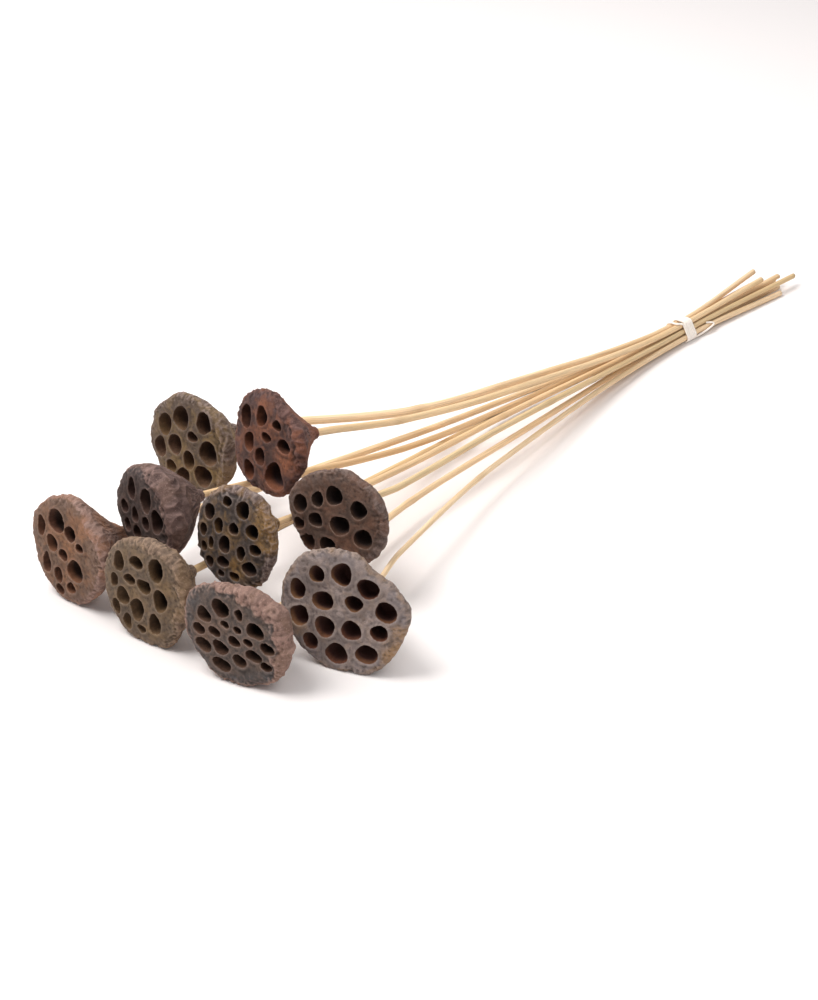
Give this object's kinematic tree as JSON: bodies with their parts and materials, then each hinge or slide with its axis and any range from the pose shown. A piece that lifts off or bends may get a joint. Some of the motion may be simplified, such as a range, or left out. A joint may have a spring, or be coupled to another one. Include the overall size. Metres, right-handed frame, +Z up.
{
  "type": "dried lotus pod bunch",
  "caption": "Tied bunch of dried lotus seed pods on straw-coloured sticks, lying down, held by an elastic tie near the cut ends.",
  "frame": {"origin": "middle of the bounding box in X and Y, at the surface the bunch lies on", "axes": "+X runs along the sticks from the pods to the cut ends, +Y is across the bunch, +Z is up"},
  "size_m": [0.5948, 0.225, 0.0957],
  "materials": {
    "husk_tan": "dry matt seed-head husk, tan to pinkish brown",
    "husk_olive": "dry matt seed-head husk, olive grey to tan",
    "husk_dark": "dry matt seed-head husk, dark grey brown",
    "husk_red": "dry matt seed-head husk, reddish brown",
    "husk_slate": "dry matt seed-head husk, slate grey to lilac brown",
    "straw": "dry pale straw-coloured stick, lengthwise fibres",
    "elastic": "cream elastic band, matt"
  },
  "bodies": {
    "root": {"pod_1": "husk_tan", "pod_2": "husk_olive", "pod_3": "husk_dark", "pod_4": "husk_olive", "pod_5": "husk_red", "pod_6": "husk_dark", "pod_7": "husk_slate", "pod_8": "husk_dark", "pod_9": "husk_slate", "stick_1": "straw", "stick_2": "straw", "stick_3": "straw", "stick_4": "straw", "stick_5": "straw", "stick_6": "straw", "stick_7": "straw", "stick_8": "straw", "stick_9": "straw", "tie": "elastic"}
  },
  "joints": []
}
